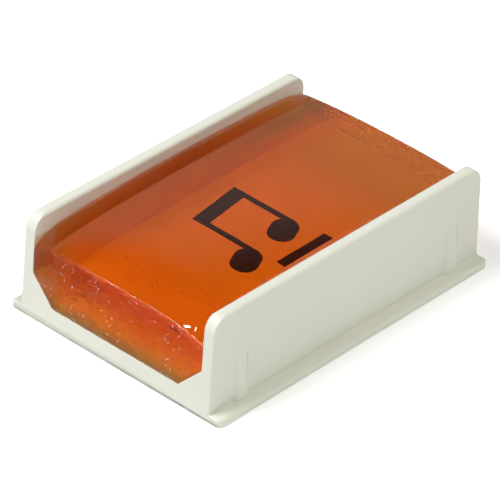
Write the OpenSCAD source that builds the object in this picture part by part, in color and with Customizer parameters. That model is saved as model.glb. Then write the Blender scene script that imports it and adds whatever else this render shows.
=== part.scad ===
// Cake of bow rosin cast in an open moulded tray.
// X runs across the tray, Y along the stroke of the bow, Z up; the tray stands on Z = 0.

/* [Tray] */
// Overall length along the bow stroke
tray_l = 54; // [48:1:60]
// Overall width across the two side flanges
flange_w = 38.5; // [37:0.5:41]
// Thickness of the side flanges
flange_t = 1.2; // [1:0.1:1.5]
// Plan radius of the four flange corners
flange_corner_r = 0.9; // [0.6:0.1:1.8]
// Height of the two side walls
wall_top = 15.8; // [15.5:0.1:17]
// Outside width across the walls at the foot
wall_outer_w = 34.5; // [34.2:0.1:35]
// Inside width across the walls at the top of the chamfers
wall_inner_w = 30.7; // [30.4:0.1:31]
// Lean of each wall face for release from the mould, degrees
wall_draft = 0.6; // [0.4:0.1:0.8]
// Radius along both top edges of a wall
wall_edge_r = 0.55; // [0.3:0.05:0.7]
// Lean of the two open ends, degrees
end_draft = 2.05; // [1:0.1:3]
// Radius of the walls' upper corners, seen from the side
wall_corner_r = 2.5; // [1.5:0.1:3.5]

/* [Trough] */
// Height of the trough's floor
floor_z = 3.25; // [3:0.05:3.6]
// Width of the flat part of the floor
floor_w = 23; // [21:0.5:25]
// Height where the chamfers meet the walls
chamfer_top = 7.25; // [6.5:0.05:8]

/* [Underside] */
// Moulded wall thickness round the cored underside
skin_t = 1.8; // [1.5:0.1:2]
// Thickness of the cross ribs under the floor
rib_t = 1.4; // [1:0.1:2]
// Distance between the cross ribs
rib_pitch = 13; // [12:1:14]

/* [Catch ribs] */
// Distance of each catch rib from the middle of the tray
catch_y = 21; // [18:0.5:23]
// Height of a catch rib above the flange
catch_h = 7; // [5:0.5:9]
// How far a catch rib stands proud of the wall at its foot
catch_proud = 0.6; // [0.4:0.05:1.2]
// Width of a catch rib's outer face
catch_w = 1.7; // [1.2:0.1:2.5]

/* [Rosin cake] */
// Height of the cake at its crown
crown_z = 13.9; // [13.5:0.1:14.4]
// Height of the cake's front ridge
front_z = 11.85; // [11.2:0.05:12.4]
// Height of the cake's back ridge
back_z = 13.05; // [12.6:0.05:13.4]
// Where the front roll-off begins, measured from the middle
front_roll_y = 17.5; // [14:0.5:20]

/* [Printed mark] */
// Thickness of the printed film on the floor
film_t = 0.08; // [0.06:0.01:0.12]
// Radius of a note head
note_r = 1.9; // [1.6:0.1:2.1]
// Distance between the two stems
note_gap = 8.6; // [7.5:0.1:9]
// Length of the stems
stem_l = 11.2; // [10:0.1:12]
// Width of the stems
stem_w = 0.95; // [0.7:0.05:1.2]
// Depth of the beam
beam_t = 2.4; // [2:0.1:3]
// Length of the underline bar
bar_l = 9.4; // [8:0.2:11]
// Width of the underline bar
bar_w = 1.5; // [1:0.1:2]

/* [Hidden] */
$fn = 64;
// sides of the long shallow arcs of the cake's top
arc_fn = 360;
// overlap where two faces would otherwise lie in one plane
eps = 0.01;
// more than the part measures in any direction
far = 100;
// how far a cutter or a mask runs past a face
clear = 5;
// how deep a section reaches into the solid that it joins
bite = 1;
tray_colour = [0.86, 0.86, 0.80];
rosin_colour = [0.78, 0.36, 0.10];
ink_colour = [0.22, 0.15, 0.16];

end_y = tray_l / 2;
outer_x = wall_outer_w / 2;
inner_x = wall_inner_w / 2;
floor_x = floor_w / 2;
// half width of the trough at the top of the walls
inner_top_x = inner_x - (wall_top - chamfer_top) * tan(wall_draft) / 2;
// the chamfer's slope, and the point where its underside leaves the cored floor
chamfer_deg = atan2(chamfer_top - floor_z, inner_x - floor_x);
core_z = floor_z - skin_t;
core_x = floor_x + skin_t * tan(chamfer_deg / 2);
core_wall_x = outer_x - skin_t;
core_side_z = core_z + (core_wall_x - core_x) * tan(chamfer_deg);
// cross ribs under the floor
rib_count = 3;
// sideways spread of a catch rib's flanks for each millimetre that it stands proud
flank_run = 1;
// the mark sits a little off the middle of the floor, with its underline towards +X
mark_x = -2.6;
mark_y = 0.75;
bar_x = 7.2;
bar_y = 1.75;
// a note head is an oval: its tilt, its straight length, and how far past its radius it is
// set from the stem's middle; one note stands higher than the other by the beam's rise
head_tilt = 22;
head_l = 1.5;
head_set = 0.3;
beam_rise = 1.2;

// Half width of the outer wall face at height z
function outer_at(z) = outer_x - z * tan(wall_draft);

// Middle of the round on one top edge: side is 1 for the outer edge and -1 for the inner
function edge_x(side) = side > 0
    ? outer_x - (wall_edge_r + (wall_top - wall_edge_r) * sin(wall_draft)) / cos(wall_draft)
    : inner_top_x + wall_edge_r;

// Section of the +X wall, from inside the base up to its rounded top
module wall_section() {
    z = wall_top - wall_edge_r;
    polygon([
        [inner_x - bite, flange_t], [outer_at(flange_t), flange_t],
        [edge_x(1) + wall_edge_r * cos(wall_draft), z + wall_edge_r * sin(wall_draft)],
        [edge_x(1), wall_top], [edge_x(-1), wall_top], [inner_top_x, z],
        [inner_x, chamfer_top], [inner_x - bite, chamfer_top]
    ]);
    for (side = [-1, 1]) translate([edge_x(side), z]) circle(r = wall_edge_r);
}

// Section of the trough as the cake fills it, open upwards
module trough_section() {
    polygon([
        [-floor_x, floor_z], [floor_x, floor_z], [inner_x, chamfer_top],
        [inner_top_x, wall_top], [inner_top_x, wall_top + clear],
        [-inner_top_x, wall_top + clear], [-inner_top_x, wall_top], [-inner_x, chamfer_top]
    ]);
}

// Section of the hollow under the floor, open downwards
module core_section() {
    polygon([
        [-core_wall_x, -clear], [core_wall_x, -clear], [core_wall_x, core_side_z],
        [core_x, core_z], [-core_x, core_z], [-core_wall_x, core_side_z]
    ]);
}

// Carries a section drawn in X and Z along the whole tray
module along_y(length) {
    rotate([90, 0, 0]) linear_extrude(height = length, center = true) children();
}

// Carries an outline drawn in Y and Z across the tray
module across_x(width) {
    rotate([90, 0, 90]) linear_extrude(height = width, center = true) children();
}

// Side outline of the body: leaning ends and rounded upper corners
module side_outline() {
    lean = tan(end_draft);
    corner_z = wall_top - wall_corner_r;
    corner_y = end_y - (wall_corner_r + corner_z * sin(end_draft)) / cos(end_draft);
    tangent_y = corner_y + wall_corner_r * cos(end_draft);
    tangent_z = corner_z + wall_corner_r * sin(end_draft);
    polygon([
        [-end_y, 0], [end_y, 0], [tangent_y, tangent_z], [corner_y, wall_top],
        [-corner_y, wall_top], [-tangent_y, tangent_z]
    ]);
    for (side = [-1, 1]) translate([side * corner_y, corner_z]) circle(r = wall_corner_r);
}

// Flange plate, its plan corners rounded and its outer upper edges eased
module flange() {
    ease = flange_t / 2;
    intersection() {
        linear_extrude(height = flange_t) {
            square([flange_w, tray_l - 2 * flange_corner_r], center = true);
            square([flange_w - 2 * flange_corner_r, tray_l], center = true);
            for (x = [-1, 1], y = [-1, 1])
                translate([x * (flange_w / 2 - flange_corner_r), y * (end_y - flange_corner_r)])
                    circle(r = flange_corner_r);
        }
        along_y(tray_l + clear) {
            translate([-flange_w / 2, 0]) square([flange_w, flange_t - ease]);
            translate([ease - flange_w / 2, 0]) square([flange_w - 2 * ease, flange_t]);
            for (x = [-1, 1])
                translate([x * (flange_w / 2 - ease), flange_t - ease]) circle(r = ease);
        }
    }
}

// One wedge that fades into the wall upwards, proud of the +X wall
module catch_rib() {
    foot = catch_w + 2 * catch_proud * flank_run;
    top_z = flange_t + catch_h;
    intersection() {
        linear_extrude(height = top_z)
            polygon([
                [outer_x - bite, -foot / 2], [outer_x, -foot / 2],
                [outer_x + catch_proud, -catch_w / 2], [outer_x + catch_proud, catch_w / 2],
                [outer_x, foot / 2], [outer_x - bite, foot / 2]
            ]);
        along_y(foot + clear)
            polygon([
                [outer_x - bite, flange_t - eps], [outer_x + catch_proud, flange_t - eps],
                [outer_at(top_z), top_z], [outer_x - bite, top_z]
            ]);
    }
}

module holder() {
    color(tray_colour)
    difference() {
        union() {
            flange();
            intersection() {
                along_y(tray_l + clear) {
                    polygon([
                        [-outer_x, 0], [outer_x, 0], [outer_at(chamfer_top), chamfer_top],
                        [-outer_at(chamfer_top), chamfer_top]
                    ]);
                    wall_section();
                    mirror([1, 0]) wall_section();
                }
                across_x(flange_w) side_outline();
            }
            for (side = [0, 1], y = [-catch_y, catch_y])
                mirror([side, 0, 0]) translate([0, y, 0]) catch_rib();
        }
        along_y(tray_l + clear) trough_section();
        difference() {
            along_y(tray_l - 2 * skin_t) core_section();
            for (i = [0 : rib_count - 1])
                translate([-far / 2, (i - (rib_count - 1) / 2) * rib_pitch - rib_t / 2, -eps])
                    cube([far, rib_t, far]);
        }
    }
}

// Side outline of the cake: a flat crown, a long roll-off to the front and a short one to the back
module cake_outline() {
    front_drop = crown_z - front_z;
    front_run = end_y - front_roll_y;
    front_r = (front_run * front_run + front_drop * front_drop) / (2 * front_drop);
    back_drop = crown_z - back_z;
    back_r = (end_y * end_y + back_drop * back_drop) / (2 * back_drop);
    intersection() {
        translate([-end_y, 0]) square([tray_l, crown_z]);
        translate([-front_roll_y, crown_z - front_r]) union() {
            circle(r = front_r, $fn = arc_fn);
            translate([0, -far]) square([far, far + front_r]);
        }
        translate([0, crown_z - back_r]) union() {
            circle(r = back_r, $fn = arc_fn);
            translate([-far, -far]) square([far, far + back_r]);
        }
    }
}

// The two beamed notes and the underline, drawn upright
module mark_outline() {
    stem_x = note_gap / 2;
    low = -stem_l / 2;
    high = stem_l / 2;
    for (side = [-1, 1]) {
        foot_y = low + side * beam_rise / 2;
        translate([side * stem_x - note_r - head_set, foot_y]) rotate(head_tilt) {
            square([head_l, 2 * note_r], center = true);
            for (end = [-1, 1]) translate([end * head_l / 2, 0]) circle(r = note_r);
        }
        translate([side * stem_x - stem_w / 2, foot_y])
            square([stem_w, high - low - beam_t / 2]);
    }
    beam_x = stem_x + stem_w / 2;
    polygon([
        [-beam_x, high - beam_t - beam_rise / 2], [beam_x, high - beam_t + beam_rise / 2],
        [beam_x, high + beam_rise / 2], [-beam_x, high - beam_rise / 2]
    ]);
}

// The printed film: its upright direction points to -X
module mark_film(thickness) {
    translate([mark_x, mark_y, floor_z]) rotate(90)
        linear_extrude(height = thickness) mark_outline();
    translate([bar_x - bar_w / 2, bar_y - bar_l / 2, floor_z]) cube([bar_w, bar_l, thickness]);
}

module rosin_cake() {
    color(rosin_colour)
    difference() {
        intersection() {
            along_y(tray_l + clear) trough_section();
            across_x(far) cake_outline();
            across_x(far) side_outline();
        }
        translate([0, 0, -eps]) mark_film(film_t + eps);
    }
}

module printed_mark() {
    color(ink_colour) mark_film(film_t);
}

holder();
rosin_cake();
printed_mark();
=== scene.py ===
"""A cake of clear amber bow rosin cast in an open, cream moulded tray, on a pale studio floor.

Lengths named here are in millimetres where they describe the moulding, as its makers would give
them, and MM turns them into Blender's metres. The tray stands on z = 0 with its length along Y,
and its rough, rolled-off front end looks to -Y.
"""

import math
import random

import bmesh
import bpy
from mathutils import Matrix, Vector, noise


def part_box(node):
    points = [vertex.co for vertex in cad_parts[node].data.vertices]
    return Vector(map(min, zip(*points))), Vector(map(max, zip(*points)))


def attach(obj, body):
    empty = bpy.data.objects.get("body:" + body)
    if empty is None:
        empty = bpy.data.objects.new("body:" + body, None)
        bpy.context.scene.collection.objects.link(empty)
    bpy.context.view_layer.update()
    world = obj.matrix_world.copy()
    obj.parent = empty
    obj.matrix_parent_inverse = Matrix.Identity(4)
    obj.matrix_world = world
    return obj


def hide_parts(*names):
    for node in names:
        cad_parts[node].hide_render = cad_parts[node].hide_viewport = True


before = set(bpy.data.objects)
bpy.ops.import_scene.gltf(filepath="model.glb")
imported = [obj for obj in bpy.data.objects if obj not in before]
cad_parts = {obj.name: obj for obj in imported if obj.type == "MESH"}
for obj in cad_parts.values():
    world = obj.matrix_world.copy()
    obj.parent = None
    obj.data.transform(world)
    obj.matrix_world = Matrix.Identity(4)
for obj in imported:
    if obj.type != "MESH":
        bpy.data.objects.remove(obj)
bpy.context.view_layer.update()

MM = 0.001

# ---------------------------------------------------------------- sizes of the moulding, mm
_, tray_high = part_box("holder")
cake_low, cake_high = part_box("rosin_cake")
HALF_L = tray_high[1] / MM
HALF_W = tray_high[0] / MM
WALL_TOP = tray_high[2] / MM
CROWN_Z = cake_high[2] / MM
FLOOR_Z = cake_low[2] / MM
INNER_X = cake_high[0] / MM

# flange
FLANGE_T = 1.2
FLANGE_CORNER_R = 0.9
FLANGE_EDGE_R = 0.6
FLANGE_UNDER_R = 0.25
# side walls
OUTER_X = 17.25
FOOT_R = 0.22
WALL_DRAFT = math.radians(0.6)
WALL_EDGE_R = 0.55
WALL_CORNER_R = 2.5
END_DRAFT = math.radians(2.05)
END_EDGE_R = 0.2
# trough
FLOOR_X = 11.5
CHAMFER_TOP = 7.25
CHAMFER_SLOPE = (CHAMFER_TOP - FLOOR_Z) / (INNER_X - FLOOR_X)
# cored underside
SKIN_T = 1.8
RIB_T = 1.4
RIB_PITCH = 13.0
POCKET_EDGE_R = 0.3
# catch ribs: they reach a little into the wall and the flange that they stand on
CATCH_Y = 21.0
CATCH_H = 7.0
CATCH_PROUD = 0.6
CATCH_W = 1.7
CATCH_HEAD_SPREAD = 0.4
CATCH_EDGE_R = 0.12
CATCH_BITE = 0.8
CATCH_SUNK = 0.3
FLANK_RUN = 1.0
FLANK_SUNK = 0.02

# ---------------------------------------------------------------- fineness of the tray's mesh
# how far a corner's point may run out when its two sides are moved inwards
MITRE_LIMIT = 0.3
# points over each round of the section, and over the rounds at its ends
UNDER_STEPS = 4
FLANGE_STEPS = 8
FOOT_STEPS = 4
EDGE_STEPS = 9
END_STEPS = 5
# points up a wall: even at first, then close where its corner is round
STRAIGHT_LEVELS = 4
CURVED_LEVELS = 8
# points on the underside, measured in from the flange's edge, for its round plan corners
UNDER_POINTS = (FLANGE_CORNER_R, 0.6, 0.4)
# heights between the flange and the chamfer's top
LOW_LEVELS = (2.6, 4.2, 5.8)
# points of half the trough's section that lie below the chamfer's top
TROUGH_POINTS = 3
# where sections stand between the ends, as shares of the half length
STATION_SHARES = (-0.8, -0.4, 0, 0.4, 0.8)
BEVEL_STEPS = 3
SHARP_ANGLE = 32


# ---------------------------------------------------------------- small mesh helpers
def new_object(name, mesh):
    piece = bpy.data.objects.new(name, mesh)
    bpy.context.scene.collection.objects.link(piece)
    return piece


def mesh_from(name, points_mm, faces):
    """A mesh from points in millimetres, its faces made to look outwards."""
    bm = bmesh.new()
    verts = [bm.verts.new(Vector(p) * MM) for p in points_mm]
    for face in faces:
        bm.faces.new([verts[i] for i in face])
    bmesh.ops.recalc_face_normals(bm, faces=bm.faces)
    mesh = bpy.data.meshes.new(name)
    bm.to_mesh(mesh)
    bm.free()
    return mesh


def round_edges(mesh, radius, chosen):
    """Rounds the edges of a mesh for which chosen(edge) holds."""
    bm = bmesh.new()
    bm.from_mesh(mesh)
    edges = [edge for edge in bm.edges if chosen(edge)]
    bmesh.ops.bevel(
        bm, geom=edges, offset=radius * MM, segments=BEVEL_STEPS, profile=0.5, affect="EDGES"
    )
    bm.to_mesh(mesh)
    bm.free()


def arc(cx, cz, r, start, stop, steps):
    """Points of an arc in the X-Z plane, its angles in degrees."""
    angles = [math.radians(start + (stop - start) * i / steps) for i in range(steps + 1)]
    return [(cx + r * math.cos(a), cz + r * math.sin(a)) for a in angles]


def quarter(side, steps):
    """Angles from 0 to 90 degrees, turned round for the end at -Y."""
    turns = [math.pi / 2 * i / steps for i in range(steps + 1)]
    return turns if side > 0 else list(reversed(turns))


def inset(loop, depth):
    """Moves each point of a closed loop that runs anticlockwise into it by the same depth."""
    moved = []
    for i, here in enumerate(loop):
        before, after = Vector(loop[i - 1]), Vector(loop[(i + 1) % len(loop)])
        here = Vector(here)
        a, b = (here - before).normalized(), (after - here).normalized()
        normal_a, normal_b = Vector((-a.y, a.x)), Vector((-b.y, b.x))
        mid = (normal_a + normal_b).normalized()
        moved.append(here + mid * depth / max(mid.dot(normal_a), MITRE_LIMIT))
    return [(p.x, p.y) for p in moved]


def ring_faces(ring_count, count):
    """Quads between neighbouring rings that have count points each."""
    faces = []
    for start in range(0, (ring_count - 1) * count, count):
        for i in range(count):
            j = (i + 1) % count
            faces.append((start + i, start + j, start + count + j, start + count + i))
    return faces


def prism_faces(sides):
    """Faces of a prism whose points are its first outline and then its second."""
    faces = [tuple(range(sides)), tuple(range(2 * sides - 1, sides - 1, -1))]
    for i in range(sides):
        j = (i + 1) % sides
        faces.append((i, j, j + sides, i + sides))
    return faces


def shade(piece, degrees):
    """Smooth shading that breaks at edges sharper than the angle, weighted by face size."""
    piece.data.polygons.foreach_set("use_smooth", [True] * len(piece.data.polygons))
    piece.data.set_sharp_from_angle(angle=math.radians(degrees))
    weighted = piece.modifiers.new("weighted", "WEIGHTED_NORMAL")
    weighted.keep_sharp = True
    weighted.weight = 80


def combine(target, other, operation):
    """Joins another solid to the target, or cuts it away, and leaves one plain mesh."""
    step = target.modifiers.new("combine", "BOOLEAN")
    step.operation = operation
    step.object = other
    step.solver = "EXACT"
    graph = bpy.context.evaluated_depsgraph_get()
    merged = bpy.data.meshes.new_from_object(target.evaluated_get(graph), depsgraph=graph)
    target.modifiers.remove(step)
    old = target.data
    target.data = merged
    bpy.data.meshes.remove(old)
    bpy.data.objects.remove(other)


# ---------------------------------------------------------------- the tray
CORNER_Z = WALL_TOP - WALL_CORNER_R
CORNER_Y = HALF_L - (WALL_CORNER_R + CORNER_Z * math.sin(END_DRAFT)) / math.cos(END_DRAFT)


def end_y(x, z):
    """How far the body reaches from the middle at a place on its section."""
    reach = HALF_L - z * math.tan(END_DRAFT)
    if z > CORNER_Z:
        rise = min(z - CORNER_Z, WALL_CORNER_R)
        reach = min(reach, CORNER_Y + math.sqrt(WALL_CORNER_R**2 - rise**2))
    beyond = abs(x) - (HALF_W - FLANGE_CORNER_R)
    if beyond > 0:
        side = math.sqrt(max(FLANGE_CORNER_R**2 - beyond**2, 0))
        reach = min(reach, HALF_L - FLANGE_CORNER_R + side)
    return reach


def wall_levels():
    """Heights of the points up a wall: close together where its corner is round."""
    start = CHAMFER_TOP
    stop = WALL_TOP - WALL_EDGE_R
    step = STRAIGHT_LEVELS
    straight = [start + (CORNER_Z - start) * i / step for i in range(step)]
    top_angle = math.asin((stop - CORNER_Z) / WALL_CORNER_R)
    step = CURVED_LEVELS
    curved = [CORNER_Z + WALL_CORNER_R * math.sin(top_angle * i / step) for i in range(step)]
    return straight + curved


def half_section():
    """The +X half of the tray's section, from the middle of its underside to the trough's middle.

    Returns the points and the index of the outer point level with the chamfer's top.
    """
    lean = math.tan(WALL_DRAFT)
    points = [(0, 0), (INNER_X - 0.5, 0), (OUTER_X, 0)]
    points += [(HALF_W - back, 0) for back in UNDER_POINTS]
    points += arc(
        HALF_W - FLANGE_UNDER_R, FLANGE_UNDER_R, FLANGE_UNDER_R, -90, 0, UNDER_STEPS
    )
    points += arc(
        HALF_W - FLANGE_EDGE_R, FLANGE_T - FLANGE_EDGE_R, FLANGE_EDGE_R, 0, 90, FLANGE_STEPS
    )
    points += [(HALF_W - FLANGE_CORNER_R, FLANGE_T)]
    foot_x = OUTER_X - FLANGE_T * lean
    points += arc(foot_x + FOOT_R, FLANGE_T + FOOT_R, FOOT_R, 270, 180, FOOT_STEPS)
    points += [(OUTER_X - z * lean, z) for z in LOW_LEVELS]
    pair = len(points)
    levels = wall_levels()
    points += [(OUTER_X - z * lean, z) for z in levels]
    outer_c = OUTER_X - (WALL_TOP - WALL_EDGE_R) * lean - WALL_EDGE_R
    inner_top = INNER_X - (WALL_TOP - CHAMFER_TOP) * lean / 2
    edge_z = WALL_TOP - WALL_EDGE_R
    points += arc(outer_c, edge_z, WALL_EDGE_R, 0, 90, EDGE_STEPS)
    points += arc(inner_top + WALL_EDGE_R, edge_z, WALL_EDGE_R, 90, 180, EDGE_STEPS)
    slope = (INNER_X - inner_top) / (edge_z - CHAMFER_TOP)
    points += [(INNER_X - (z - CHAMFER_TOP) * slope, z) for z in reversed(levels)]
    points += [(FLOOR_X + (INNER_X - FLOOR_X) / 2, (FLOOR_Z + CHAMFER_TOP) / 2)]
    points += [(FLOOR_X, FLOOR_Z), (FLOOR_X / 2, FLOOR_Z)]
    return points, pair


def wall_end(at, low, high):
    """Faces of one wall's end: a ladder between its outer points and its inner points."""
    faces = []
    while high - low > 2:
        faces.append([at(low), at(low + 1), at(high - 1), at(high)])
        low, high = low + 1, high - 1
    if high - low == 2:
        faces.append([at(low), at(low + 1), at(high)])
    return faces


def tray_body():
    """The moulding without its catch ribs and pockets, as rings of its section along Y."""
    right, pair = half_section()
    middle = [(0, FLOOR_Z)]
    left = [(-x, z) for x, z in reversed(right[1:])]
    loop = right + middle + left
    count = len(loop)
    rings = []
    for side in (-1, 1):
        for turn in quarter(side, END_STEPS):
            depth = END_EDGE_R * (1 - math.cos(turn))
            ring = []
            for (x, z) in inset(loop, depth):
                ring.append((x, side * (end_y(x, z) - END_EDGE_R * (1 - math.sin(turn))), z))
            rings.append(ring)
        if side < 0:
            for share in STATION_SHARES:
                rings.append([(x, share * end_y(x, z), z) for x, z in loop])
    points = [p for ring in rings for p in ring]
    faces = ring_faces(len(rings), count)
    # the two end faces: ladders up the walls and one flat face below them
    inner_pair = len(right) - 1 - TROUGH_POINTS
    for base in (0, (len(rings) - 1) * count):
        faces += wall_end(lambda i: base + i, pair, inner_pair)
        faces += wall_end(lambda i: base + (count - i) % count, pair, inner_pair)
        low_face = list(range(0, pair + 1)) + list(range(inner_pair, len(right) + 1))
        low_face += [count - i for i in reversed(range(inner_pair, len(right)))]
        low_face += [count - i for i in reversed(range(1, pair + 1))]
        faces.append([base + i for i in low_face])
    return mesh_from("tray", points, faces)


def catch_rib(side, y):
    """One wedge on the outside of a wall that fades into it upwards."""
    lean = math.tan(WALL_DRAFT)
    top = FLANGE_T + CATCH_H
    half = CATCH_W / 2
    foot = half + CATCH_PROUD * FLANK_RUN
    inside = OUTER_X - CATCH_BITE
    # its head is a hair proud, so that it doesn't lie in the wall's own plane
    top_x = OUTER_X - top * lean + 0.01
    points = []
    for z, x, base in (
        (FLANGE_T - CATCH_SUNK, OUTER_X + CATCH_PROUD, foot),
        (top, top_x, half + CATCH_HEAD_SPREAD),
    ):
        flank_x = OUTER_X - z * lean - FLANK_SUNK
        points += [(inside, -base, z), (flank_x, -base, z), (x, -half, z)]
        points += [(x, half, z), (flank_x, base, z), (inside, base, z)]
    points = [(side * px, y + py, pz) for px, py, pz in points]
    mesh = mesh_from("catch", points, prism_faces(6))

    def stands_proud(edge):
        return all(abs(v.co.x) > (OUTER_X + 0.05) * MM for v in edge.verts)

    round_edges(mesh, CATCH_EDGE_R, stands_proud)
    return new_object("catch", mesh)


def pocket(y0, y1):
    """One hollow of the cored underside between two cross ribs."""
    core_z = FLOOR_Z - SKIN_T
    slope = math.atan2(CHAMFER_TOP - FLOOR_Z, INNER_X - FLOOR_X)
    core_x = FLOOR_X + SKIN_T * math.tan(slope / 2)
    wall_x = OUTER_X - SKIN_T
    side_z = core_z + (wall_x - core_x) * math.tan(slope)
    outline = [(-wall_x, -1), (wall_x, -1), (wall_x, side_z), (core_x, core_z)]
    outline += [(-core_x, core_z), (-wall_x, side_z)]
    points = [(x, y0, z) for x, z in outline] + [(x, y1, z) for x, z in outline]
    mesh = mesh_from("pocket", points, prism_faces(6))

    def reaches_in(edge):
        return any(v.co.z > 0 for v in edge.verts)

    round_edges(mesh, POCKET_EDGE_R, reaches_in)
    return new_object("pocket", mesh)


def make_tray():
    tray = new_object("tray", tray_body())
    for side in (-1, 1):
        for y in (-CATCH_Y, CATCH_Y):
            combine(tray, catch_rib(side, y), "UNION")
    edges = [-HALF_L + SKIN_T]
    for rib in (-1, 0, 1):
        edges += [rib * RIB_PITCH - RIB_T / 2, rib * RIB_PITCH + RIB_T / 2]
    edges.append(HALF_L - SKIN_T)
    for y0, y1 in zip(edges[0::2], edges[1::2]):
        combine(tray, pocket(y0, y1), "DIFFERENCE")
    shade(tray, SHARP_ANGLE)
    return tray


# ---------------------------------------------------------------- the rosin cake, sizes in mm
# how far the cake sinks into the tray, so that no air lies between the two
CAKE_SINK = 0.05
# the poured top along its middle: it sags from the crest, then rolls off to both ridges
CREST_Y = 2.0
CROWN_SAG = 0.45
SAG_RUN = 20
FRONT_ROLL_Y = 17.5
BACK_ROLL_Y = 18
FRONT_RIDGE = 12.0
BACK_RIDGE = 13.2
# shares of the front roll-off: a slow one, and a quick one at the very lip
SLOW_ROLL = 0.55
SLOW_POWER = 1.6
LIP_ROLL = 0.45
LIP_POWER = 6
# the top across: it falls to the sides, then climbs the walls, or drops at them near the ends
CROWN_DROP = 0.45
CROWN_POWER = 2.5
CLIMB_RUN = 2.5
CLIMB_RISE = 0.55
CLIMB_POWER = 1.25
CLIMB_FADE = 4.5
SHOULDER_DROP = 0.45
# extra fall round the front corner at the +X wall
CORNER_RUN = 6.5
CORNER_DROP = 1.05
CORNER_STRETCH = 0.9
# faint waves: height, length across, length along, and place in the noise
WAVES = ((0.014, 7, 9, 3.1), (0.004, 2.3, 3.1, 8.7))
# the rounded, nicked ridges and the rough ends, whose grain has a depth and waves per mm
RIDGE_R = 0.42
RIDGE_NICK = 0.16
RIDGE_Y = HALF_L - 0.5
END_RECESS = 0.07
END_GRAIN = ((0.05, 1.9), (0.03, 4.7))
CHIP_DEPTH = 0.22
CHIP_R = 0.34
FLUTE_DEPTH = 0.03
ROUGH_FADE = 0.6
COLUMN_PITCH = 0.26
END_SEEDS = ((-1, 11.3), (1, 47.9))
# bubbles
BUBBLE_SEED = 4
BUBBLE_GROUPS = (("front", 60), ("top", 16), ("back", 30))
SMALLEST_BUBBLE = 0.05
LARGEST_BUBBLE = 0.13
# fineness of the mesh: points across, points up a side, rings along, rings over a ridge
COLUMNS = 120
ROWS = 46
STATIONS = 160
RIDGE_STEPS = 12
LAST_STATION = HALF_L - 1.6


def smooth(t):
    """A soft step from 0 to 1."""
    t = min(max(t, 0.0), 1.0)
    return t * t * (3 - 2 * t)


def crown(y):
    """Height of the poured surface along the middle of the cake."""
    z = CROWN_Z - CROWN_SAG * ((y - CREST_Y) / SAG_RUN) ** 2
    front = (-FRONT_ROLL_Y - y) / (HALF_L - FRONT_ROLL_Y)
    if front > 0:
        reach = CROWN_Z - CROWN_SAG * ((HALF_L + CREST_Y) / SAG_RUN) ** 2 - FRONT_RIDGE
        z -= reach * (SLOW_ROLL * front**SLOW_POWER + LIP_ROLL * front**LIP_POWER)
    back = (y - BACK_ROLL_Y) / (HALF_L - BACK_ROLL_Y)
    if back > 0:
        reach = CROWN_Z - CROWN_SAG * ((HALF_L - CREST_Y) / SAG_RUN) ** 2 - BACK_RIDGE
        z -= reach * back**2
    return z


def surface_z(x, y):
    """Height of the poured surface, with its shoulders at the walls and faint waves."""
    z = crown(y)
    gap = max(INNER_X - abs(x), 0)
    ends = smooth((abs(y) - HALF_L + CLIMB_FADE) / CLIMB_FADE)
    z -= CROWN_DROP * min(abs(x) / (INNER_X - CLIMB_RUN), 1.0) ** CROWN_POWER
    if gap < CLIMB_RUN:
        share = 1 - gap / CLIMB_RUN
        z += CLIMB_RISE * (1 - ends) * share**CLIMB_POWER - SHOULDER_DROP * ends * share**2
    corner = math.hypot(x - INNER_X, (y + HALF_L) * CORNER_STRETCH) / CORNER_RUN
    if corner < 1:
        z -= CORNER_DROP * (1 - corner) ** 2
    for height, across, along, place in WAVES:
        z += height * noise.noise(Vector((x / across, y / along, place)))
    return z


def bed_z(x):
    """Height of the cake's underside, a little into the tray so that no air lies between."""
    out = abs(x) - FLOOR_X
    return FLOOR_Z + max(out, 0) * CHAMFER_SLOPE - CAKE_SINK


def broken_face(x, z, seed):
    """How far the rough end stands out at a place: grain, shallow chips and fine flutes."""
    here = Vector((x, z, seed))
    grain = sum(depth * noise.noise(here * scale) for depth, scale in END_GRAIN)
    cell = noise.voronoi(Vector((x * 0.33, z * 0.5, seed)))[0][0]
    chip = CHIP_DEPTH * max(0.0, CHIP_R - cell) / CHIP_R
    flute = FLUTE_DEPTH * abs(noise.noise(Vector((x * 0.8, z * 2.6, seed + 5))))
    return grain - chip - flute


def ridge_nick(x, z, side):
    """How far the ridge is nicked away at a place: a few dents and fine crumbling."""
    dent = RIDGE_NICK * max(0.0, noise.noise(Vector((x * 1.7, side * 7.0, z * 0.9))))
    return dent + 0.4 * RIDGE_NICK * noise.noise(Vector((x * 5.3, side * 3.0, z)))


def cake_section(y, sink):
    """One ring of the cake, anticlockwise: bed, +X side, top and -X side."""
    xs = [-1 + 2 * i / COLUMNS for i in range(COLUMNS + 1)]
    xs = [(INNER_X + CAKE_SINK) * x for x in xs]
    bottom = [(x, bed_z(x)) for x in xs]
    top = [(x, surface_z(x, y) - sink) for x in reversed(xs)]
    shares = [j / ROWS for j in range(1, ROWS)]
    right = [(xs[-1], bottom[-1][1] + (top[0][1] - bottom[-1][1]) * s) for s in shares]
    left = [(xs[0], top[-1][1] + (bottom[0][1] - top[-1][1]) * s) for s in shares]
    return bottom + right + top + left


def ridge_ring(side, turn):
    """One ring over a ridge: turn runs from 0 on the top to 90 degrees on the end face."""
    sink = RIDGE_R * (1 - math.cos(turn))
    back_off = RIDGE_R * (1 - math.sin(turn))
    ring = []
    for x, z in cake_section(side * (RIDGE_Y - back_off), sink):
        nick = ridge_nick(x, z, side) * math.sin(turn)
        ring.append((x, side * (end_y(x, z) - END_RECESS - back_off - nick), z))
    return ring


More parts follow.
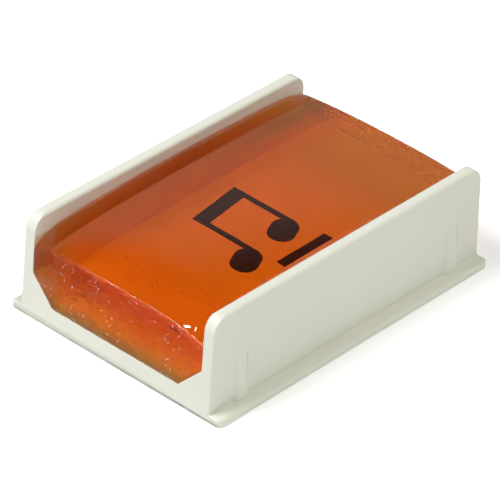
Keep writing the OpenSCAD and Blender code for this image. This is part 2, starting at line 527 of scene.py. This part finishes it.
def cake_rings():
    """All rings of the cake from its front end to its back end."""
    rings = [ridge_ring(-1, turn) for turn in quarter(-1, RIDGE_STEPS)]
    for s in range(STATIONS + 1):
        y = -LAST_STATION + 2 * LAST_STATION * s / STATIONS
        rings.append([(x, y, z) for x, z in cake_section(y, 0)])
    rings += [ridge_ring(1, turn) for turn in quarter(1, RIDGE_STEPS)]
    return rings


def cake_end(ring, side, seed):
    """Grid of points over one end, from the end ring's own bed and top. Row 0 is the bed."""
    n = COLUMNS + 1
    bottom = ring[:n]
    top = list(reversed(ring[n + ROWS - 1 : 2 * n + ROWS - 1]))
    grid = []
    for j in range(ROWS + 1):
        row = []
        for i in range(n):
            x = bottom[i][0]
            z = bottom[i][1] + (top[i][1] - bottom[i][1]) * j / ROWS
            edge = min(i, n - 1 - i) * COLUMN_PITCH
            edge = min(edge, (z - bottom[i][1]), (top[i][1] - z) * 0.5)
            fade = min(max(edge / ROUGH_FADE, 0), 1)
            y = end_y(x, z) - END_RECESS + fade * broken_face(x, z, seed)
            row.append((x, side * y, z))
        grid.append(row)
    return grid


def rim_index(i, j):
    """Place in a ring of the point at column i and row j of an end's grid, or None inside it."""
    n = COLUMNS + 1
    if j == 0:
        return i
    if j == ROWS:
        return n + ROWS - 1 + (n - 1 - i)
    if i == n - 1:
        return n + j - 1
    if i == 0:
        return 2 * n + ROWS - 1 + (ROWS - 1 - j)
    return None


def make_cake():
    n = COLUMNS + 1
    count = 2 * n + 2 * (ROWS - 1)
    rings = cake_rings()
    points = [p for ring in rings for p in ring]
    faces = ring_faces(len(rings), count)
    for side, seed in END_SEEDS:
        base = 0 if side < 0 else (len(rings) - 1) * count
        end_ring = [(p[0], p[2]) for p in rings[0 if side < 0 else -1]]
        grid = cake_end(end_ring, side, seed)
        index = {}
        for j in range(ROWS + 1):
            for i in range(n):
                rim = rim_index(i, j)
                if rim is None:
                    index[i, j] = len(points)
                    points.append(grid[j][i])
                else:
                    index[i, j] = base + rim
        for j in range(ROWS):
            for i in range(n - 1):
                faces.append((index[i, j], index[i + 1, j], index[i + 1, j + 1], index[i, j + 1]))
    mesh = mesh_from("amber_cake", points, faces)
    add_bubbles(mesh)
    cake = new_object("amber_cake", mesh)
    mesh.polygons.foreach_set("use_smooth", [True] * len(mesh.polygons))
    return cake


def bubble_place(draw, group, radius):
    """A place for one bubble: close under the top's front part, or just inside an end."""
    x = draw.uniform(-1, 1) * (INNER_X - 2.0)
    if group == "top":
        y = -HALF_L + draw.uniform(2.0, 8.0)
        return Vector((x, y, surface_z(x, y) - radius - draw.uniform(0.15, 0.8)))
    side = -1 if group == "front" else 1
    low = bed_z(x) + 0.4
    high = surface_z(x, side * (HALF_L - 1.0)) - 1.0
    z = low + (high - low) * draw.random() ** 1.4
    return Vector((x, side * (end_y(x, z) - END_RECESS - draw.uniform(0.45, 1.6)), z))


def add_bubbles(mesh):
    """Small closed bubbles of air: most lie just behind the rough ends, a few under the top."""
    draw = random.Random(BUBBLE_SEED)
    bm = bmesh.new()
    bm.from_mesh(mesh)
    for group, count in BUBBLE_GROUPS:
        for _ in range(count):
            radius = draw.uniform(SMALLEST_BUBBLE, LARGEST_BUBBLE)
            spot = Matrix.Translation(bubble_place(draw, group, radius) * MM)
            made = bmesh.ops.create_icosphere(bm, subdivisions=2, radius=radius * MM, matrix=spot)
            shell = {face for vert in made["verts"] for face in vert.link_faces}
            bmesh.ops.reverse_faces(bm, faces=list(shell))
    bm.to_mesh(mesh)
    bm.free()


# ---------------------------------------------------------------- materials
# colours are linear red, green, blue and alpha
WHITE = (1, 1, 1, 1)
CREAM = (0.722, 0.728, 0.618, 1)
CREAM_PATCH = (0.708, 0.717, 0.604, 1)
CREAM_SPECK = (0.50, 0.48, 0.38, 1)
# the bed under the cake, from the front lip to the back, and up its banks and walls, carries
# painted light and shade: a shaded lip, a painted glow behind it, a lighter middle, and painted
# shade on its far edge, banks and walls
BED_LIP_PAINTED_SHADE = (0.66, 0.68, 0.36, 1)
BED_FRONT_PAINTED_GLOW = (0.995, 0.76, 0.50, 1)
BED_MIDDLE_PAINTED_LIGHT = (0.97, 0.985, 0.90, 1)
BED_BACK_PAINTED_LIGHT = (0.74, 0.92, 0.85, 1)
BED_FAR_EDGE_PAINTED_SHADE = (0.84, 0.82, 0.70, 1)
BANK_FRONT_PAINTED_SHADE = (0.90, 0.70, 0.50, 1)
BANK_MIDDLE_PAINTED_SHADE = (0.80, 0.76, 0.62, 1)
BANK_BACK_PAINTED_SHADE = (0.56, 0.60, 0.50, 1)
SIDE_MIDDLE_PAINTED_SHADE = (0.60, 0.50, 0.32, 1)
SIDE_BACK_PAINTED_SHADE = (0.76, 0.74, 0.52, 1)
AMBER = (0.999, 0.706, 0.0, 1)
AMBER_DENSITY = 230.0
INK_SOLID = (0.02, 0.015, 0.02, 1)
INK_THIN = (0.05, 0.03, 0.03, 1)
PAPER_DARK = (0.90, 0.90, 0.89, 1)
PAPER_LIGHT = (0.91, 0.91, 0.90, 1)
PAPER_GLOW = 0.22
# the bed's painted light and shade end a little below the line where the cake meets the walls
COVER_Z = 12.4
COVER_FADE = 0.8


class Nodes:
    """Short hand for building one material's node tree."""

    def __init__(self, name):
        self.material = bpy.data.materials.new(name)
        self.material.use_nodes = True
        self.tree = self.material.node_tree
        self.tree.nodes.clear()
        self.output = self.add("ShaderNodeOutputMaterial")
        self.shader = self.add("ShaderNodeBsdfPrincipled")
        self.link(self.shader.outputs[0], self.output.inputs["Surface"])
        self.place = self.add("ShaderNodeTexCoord").outputs["Object"]

    def add(self, kind, **values):
        node = self.tree.nodes.new(kind)
        for key, value in values.items():
            setattr(node, key, value)
        return node

    def link(self, source, target):
        self.tree.links.new(source, target)

    def give(self, value, socket):
        """Links an output to a socket, or sets a plain value on it."""
        if hasattr(value, "links"):
            self.link(value, socket)
        else:
            socket.default_value = value

    def split(self, vector):
        """The X, Y and Z outputs of a vector."""
        node = self.add("ShaderNodeSeparateXYZ")
        self.link(vector, node.inputs[0])
        return node.outputs

    def noise(self, scale, detail=3.0, roughness=0.5):
        """Noise in the object's own space. scale is in waves per metre."""
        node = self.add("ShaderNodeTexNoise")
        node.inputs["Scale"].default_value = scale
        node.inputs["Detail"].default_value = detail
        node.inputs["Roughness"].default_value = roughness
        self.link(self.place, node.inputs["Vector"])
        return node.outputs[0]

    def flecks(self, scale, rarity, size):
        """Small round spots in a few of the cells of a pattern, 1 in their middles."""
        cells = self.add("ShaderNodeTexVoronoi")
        cells.inputs["Scale"].default_value = scale
        self.link(self.place, cells.inputs["Vector"])
        tint = self.add("ShaderNodeSeparateColor")
        self.link(cells.outputs["Color"], tint.inputs[0])
        rare = self.ramp(tint.outputs[0], rarity, rarity + 0.03)
        spot = self.ramp(cells.outputs["Distance"], 0.02, size, 1.0, 0.0)
        return self.math("MULTIPLY", spot, rare)

    def ramp(self, source, low, high, to_low=0.0, to_high=1.0):
        """A soft step between two values of the source."""
        node = self.add("ShaderNodeMapRange", interpolation_type="SMOOTHSTEP")
        node.inputs["From Min"].default_value = low
        node.inputs["From Max"].default_value = high
        node.inputs["To Min"].default_value = to_low
        node.inputs["To Max"].default_value = to_high
        self.link(source, node.inputs["Value"])
        return node.outputs["Result"]

    def math(self, operation, a, b=0.0):
        node = self.add("ShaderNodeMath", operation=operation)
        self.give(a, node.inputs[0])
        self.give(b, node.inputs[1])
        return node.outputs[0]

    def mix(self, factor, a, b):
        """A colour between a and b. The sockets are those of the node's colour mode."""
        node = self.add("ShaderNodeMix", data_type="RGBA")
        for socket, value in zip((node.inputs[0], node.inputs[6], node.inputs[7]), (factor, a, b)):
            self.give(value, socket)
        return node.outputs[2]

    def bump(self, height, distance, below=None):
        """Relief of a depth given in metres, on top of the relief below it."""
        node = self.add("ShaderNodeBump")
        node.inputs["Distance"].default_value = distance
        node.inputs["Strength"].default_value = 1.0
        self.link(height, node.inputs["Height"])
        if below is not None:
            self.link(below, node.inputs["Normal"])
        return node.outputs[0]

    def set(self, socket, value):
        self.give(value, self.shader.inputs[socket])


def painted_bed_mask(n):
    """1 where the tray's surface is covered by the cake and carries the bed's painted light and
    shade, and 0 where it is bare.
    """
    x, _, z = n.split(n.place)
    across = n.math("ABSOLUTE", x)
    out = n.math("MAXIMUM", n.math("SUBTRACT", across, FLOOR_X * MM), 0.0)
    rise = n.math("MULTIPLY", out, CHAMFER_SLOPE)
    above = n.math("SUBTRACT", n.math("SUBTRACT", z, FLOOR_Z * MM), rise)
    over_bed = n.ramp(above, -0.05 * MM, -0.01 * MM)
    between = n.ramp(across, (INNER_X + 0.02) * MM, (INNER_X + 0.06) * MM, 1.0, 0.0)
    below_top = n.ramp(z, COVER_Z * MM, (COVER_Z + COVER_FADE) * MM, 1.0, 0.0)
    return n.math("MULTIPLY", n.math("MULTIPLY", over_bed, between), below_top)


def bed_painted_light_and_shade(n):
    """Painted light and shade on the bed under the cake: a warm painted glow at the front, whiter
    in the middle, painted shade greying it up to the walls.

    Places along the tray and across it are in millimetres from its middle.
    """
    across, along, height = n.split(n.place)
    middle = n.ramp(along, -21 * MM, -6 * MM)
    back = n.ramp(along, 6 * MM, 24 * MM)
    # painted shade darkens the lip, and a painted glow lies just behind it
    first = n.ramp(along, -27 * MM, -21.5 * MM)
    flat = n.mix(middle, n.mix(first, BED_LIP_PAINTED_SHADE, BED_FRONT_PAINTED_GLOW), BED_MIDDLE_PAINTED_LIGHT)
    flat = n.mix(back, flat, BED_BACK_PAINTED_LIGHT)
    # painted shade darkens the bed towards its far bank
    far_side = n.ramp(across, -FLOOR_X * MM, -6 * MM, 1.0, 0.0)
    flat = n.mix(n.math("MULTIPLY", far_side, middle), flat, BED_FAR_EDGE_PAINTED_SHADE)
    # painted shade on the banks and up the walls
    chamfer = n.ramp(height, (FLOOR_Z + 0.2) * MM, (FLOOR_Z + 3.0) * MM)
    bank = n.mix(middle, BANK_FRONT_PAINTED_SHADE, n.mix(back, BANK_MIDDLE_PAINTED_SHADE, BANK_BACK_PAINTED_SHADE))
    sloped = n.mix(chamfer, flat, bank)
    wall = n.ramp(height, (CHAMFER_TOP - 1.0) * MM, (CHAMFER_TOP + 0.6) * MM)
    return n.mix(wall, sloped, n.mix(back, SIDE_MIDDLE_PAINTED_SHADE, SIDE_BACK_PAINTED_SHADE))


def tray_plastic():
    """Cream polystyrene: satin, faintly uneven, a little darker in broad patches, with painted
    light and shade on the bed under the cake.
    """
    n = Nodes("tray_plastic")
    patch = n.ramp(n.noise(38, 2), 0.35, 0.7)
    colour = n.mix(patch, CREAM, CREAM_PATCH)
    speck = n.ramp(n.noise(900, 2, 0.6), 0.70, 0.76)
    colour = n.mix(n.math("MULTIPLY", speck, 0.25), colour, CREAM_SPECK)
    # under the cake the cream gives way to the bed's painted light and shade
    n.set("Base Color", n.mix(painted_bed_mask(n), colour, bed_painted_light_and_shade(n)))
    n.set("Roughness", n.ramp(n.noise(210, 4, 0.6), 0.3, 0.7, 0.34, 0.46))
    n.set("IOR", 1.5)
    peel = n.bump(n.noise(520, 3, 0.5), 0.00002)
    n.set("Normal", n.bump(n.noise(70, 2), 0.00008, below=peel))
    return n.material


def rosin():
    """Clear amber rosin: glossy where it was poured, frosted at its two open ends, where painted
    white glints and haze lie.
    """
    n = Nodes("rosin")
    n.set("Base Color", WHITE)
    n.set("IOR", 1.53)
    along = n.math("ABSOLUTE", n.split(n.place)["Y"])
    facing = n.split(n.add("ShaderNodeNewGeometry").outputs["Normal"])
    looks_out = n.ramp(n.math("ABSOLUTE", facing["Y"]), 0.80, 0.96)
    near_end = n.ramp(along, (HALF_L - 1.0) * MM, (HALF_L - 0.8) * MM)
    frost = n.math("MULTIPLY", near_end, looks_out)
    patches = n.ramp(n.noise(420, 5, 0.65), 0.35, 0.65, 0.04, 0.22)
    n.set("Roughness", n.math("ADD", n.math("MULTIPLY", frost, patches), 0.015))
    grain = n.math("MULTIPLY", n.noise(2600, 4, 0.7), near_end)
    flecks = n.math("MULTIPLY", n.flecks(1500, 0.80, 0.30), near_end)
    n.set("Normal", n.bump(flecks, 0.0003, below=n.bump(grain, 0.00006)))
    # white grains on the ends stand in for glints off small pits and bubbles: painted highlights
    # in patches, over a thin white film that is partly the frost's own milkiness and partly
    # painted haze of reflected light
    glint_specks = n.math("MAXIMUM", n.flecks(1500, 0.72, 0.32), n.flecks(2600, 0.74, 0.36))
    glint_specks = n.math("MULTIPLY", glint_specks, n.ramp(n.noise(260, 3, 0.6), 0.38, 0.58))
    film = n.ramp(n.noise(700, 5, 0.7), 0.45, 0.75, 0.0, 0.02)
    painted_glints_and_haze = n.math("MULTIPLY", n.math("MAXIMUM", n.math("MULTIPLY", glint_specks, 0.55), film), frost)
    n.set("Transmission Weight", n.math("SUBTRACT", 1.0, painted_glints_and_haze))
    absorb = n.add("ShaderNodeVolumeAbsorption")
    absorb.inputs["Color"].default_value = AMBER
    absorb.inputs["Density"].default_value = AMBER_DENSITY
    n.link(absorb.outputs[0], n.output.inputs["Volume"])
    return n.material


def ink():
    """Dark printing ink with small gaps in its cover."""
    n = Nodes("ink")
    n.set("Base Color", n.mix(n.ramp(n.noise(1800, 3), 0.55, 0.75), INK_SOLID, INK_THIN))
    n.set("Roughness", n.ramp(n.noise(900, 2), 0.3, 0.7, 0.5, 0.7))
    n.set("Normal", n.bump(n.noise(3000, 2), 0.00001))
    return n.material


def floor_paper():
    """Pale matt paper that glows a little, so that shadows on it stay light."""
    n = Nodes("floor_paper")
    n.set("Base Color", n.mix(n.noise(6, 2), PAPER_DARK, PAPER_LIGHT))
    n.set("Roughness", 0.9)
    n.set("Specular IOR Level", 0.1)
    n.set("Emission Color", WHITE)
    n.set("Emission Strength", PAPER_GLOW)
    return n.material


# ---------------------------------------------------------------- studio, in metres and watts
FLOOR_HALF = 4.0
FLOOR_DROP = 0.00002
# strength of the world's sweep, of its ceiling, and the table's share of the sweep
SWEEP_LIGHT = 0.38
CEILING_LIGHT = 0.03
TABLE_SHARE = 0.45
# the sweep fades into the ceiling between these heights in degrees, and into the table below 0
SWEEP_TOP = 33
CEILING_EDGE = 44
TABLE_FADE = 0.08
WARM_WHITE = (1.0, 0.99, 0.96)


def softbox(name, place, size, power, colour):
    """A square area light that looks at the object."""
    lamp = bpy.data.lights.new(name, "AREA")
    lamp.size = size
    lamp.energy = power
    lamp.color = colour
    box = bpy.data.objects.new(name, lamp)
    box.location = place
    box.rotation_euler = (-Vector(place)).to_track_quat("-Z", "Y").to_euler()
    bpy.context.scene.collection.objects.link(box)


def world_ramp(tree, height, low, high, to_low, to_high=1.0):
    """A Map Range node of the world's tree over the height of a direction."""
    node = tree.nodes.new("ShaderNodeMapRange")
    node.inputs["From Min"].default_value = low
    node.inputs["From Max"].default_value = high
    node.inputs["To Min"].default_value = to_low
    node.inputs["To Max"].default_value = to_high
    tree.links.new(height, node.inputs["Value"])
    return node


def backdrop():
    """A pale sweep round the horizon, a dim ceiling above it and a dim table below."""
    world = bpy.data.worlds.new("studio")
    bpy.context.scene.world = world
    world.use_nodes = True
    tree = world.node_tree
    background = tree.nodes["Background"]
    background.inputs["Color"].default_value = WHITE
    direction = tree.nodes.new("ShaderNodeTexCoord").outputs["Generated"]
    split = tree.nodes.new("ShaderNodeSeparateXYZ")
    tree.links.new(direction, split.inputs[0])
    height = split.outputs["Z"]
    top = math.sin(math.radians(SWEEP_TOP))
    edge = math.sin(math.radians(CEILING_EDGE))
    fall = world_ramp(tree, height, top, edge, SWEEP_LIGHT, CEILING_LIGHT)
    fall.interpolation_type = "SMOOTHSTEP"
    table = world_ramp(tree, height, -TABLE_FADE, 0.0, TABLE_SHARE)
    both = tree.nodes.new("ShaderNodeMath")
    both.operation = "MULTIPLY"
    tree.links.new(fall.outputs[0], both.inputs[0])
    tree.links.new(table.outputs[0], both.inputs[1])
    tree.links.new(both.outputs[0], background.inputs["Strength"])


def make_floor():
    corners = [(x * FLOOR_HALF, y * FLOOR_HALF, -FLOOR_DROP)
               for x, y in ((-1, -1), (1, -1), (1, 1), (-1, 1))]
    mesh = bpy.data.meshes.new("floor")
    mesh.from_pydata(corners, [], [(0, 1, 2, 3)])
    floor = new_object("floor", mesh)
    floor.data.materials.append(floor_paper())
    floor.visible_glossy = False


def studio():
    """The floor, the world and five lamps: each lamp's place, size, power and colour."""
    make_floor()
    backdrop()
    softbox("key", (-0.175, -0.285, 0.497), 0.24, 2.75, (0.94, 0.945, 1.0))
    softbox("overhead", (0.12, -0.03, 0.59), 0.10, 1.30, WARM_WHITE)
    # the small lamp that the cake's front corner mirrors
    softbox("glint", (-0.130, 0.040, 0.583), 0.036, 0.13, WARM_WHITE)
    softbox("side_fill", (0.778, 0.137, 0.125), 0.40, 1.08, WARM_WHITE)
    softbox("front_fill", (-0.25, -0.75, 0.12), 0.40, 0.16, (0.2, 0.45, 1.0))


# where the camera stands, seen from the point it is turned round, and how it is shifted sideways
VIEW_AZIMUTH = math.radians(40.93)
VIEW_ELEVATION = math.radians(34.33)
VIEW_ROLL = math.radians(3.19)
VIEW_DISTANCE = 553.5
AIM_Z = 8.0
SHIFT_RIGHT = -0.59
SHIFT_UP = -1.71
FOCAL_LENGTH = 295.9
SENSOR_WIDTH = 36.0


def camera():
    """A long lens at the viewing angle, aimed a little below the middle of the walls."""
    flat = math.cos(VIEW_ELEVATION)
    aim = Vector((0, 0, AIM_Z)) * MM
    back = Vector((math.sin(VIEW_AZIMUTH) * flat,
                   -math.cos(VIEW_AZIMUTH) * flat, math.sin(VIEW_ELEVATION)))
    right = (-back).cross(Vector((0, 0, 1))).normalized()
    up = right.cross(-back)
    across = math.cos(VIEW_ROLL) * right + math.sin(VIEW_ROLL) * up
    upward = -math.sin(VIEW_ROLL) * right + math.cos(VIEW_ROLL) * up
    distance = VIEW_DISTANCE * MM
    place = aim + back * distance + across * SHIFT_RIGHT * MM + upward * SHIFT_UP * MM
    data = bpy.data.cameras.new("camera")
    data.sensor_width = SENSOR_WIDTH
    data.lens = FOCAL_LENGTH
    data.clip_start = 0.01
    data.clip_end = 20.0
    cam = bpy.data.objects.new("camera", data)
    turned = Matrix((across, upward, back)).transposed().to_4x4()
    cam.matrix_world = Matrix.Translation(place) @ turned
    bpy.context.scene.collection.objects.link(cam)
    bpy.context.scene.camera = cam


# ---------------------------------------------------------------- assembly
# light crosses many faces inside the clear cake before it leaves
CLEAR_BOUNCES = 24

camera()
studio()
bpy.context.scene.view_settings.view_transform = "Standard"
bpy.context.scene.cycles.max_bounces = CLEAR_BOUNCES
bpy.context.scene.cycles.transmission_bounces = CLEAR_BOUNCES

tray = make_tray()
tray.data.materials.clear()
tray.data.materials.append(tray_plastic())
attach(tray, "root")
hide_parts("holder")

cake = make_cake()
cake.data.materials.append(rosin())
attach(cake, "root")
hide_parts("rosin_cake")

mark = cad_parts["printed_mark"]
for slot in mark.material_slots:
    slot.material = ink()
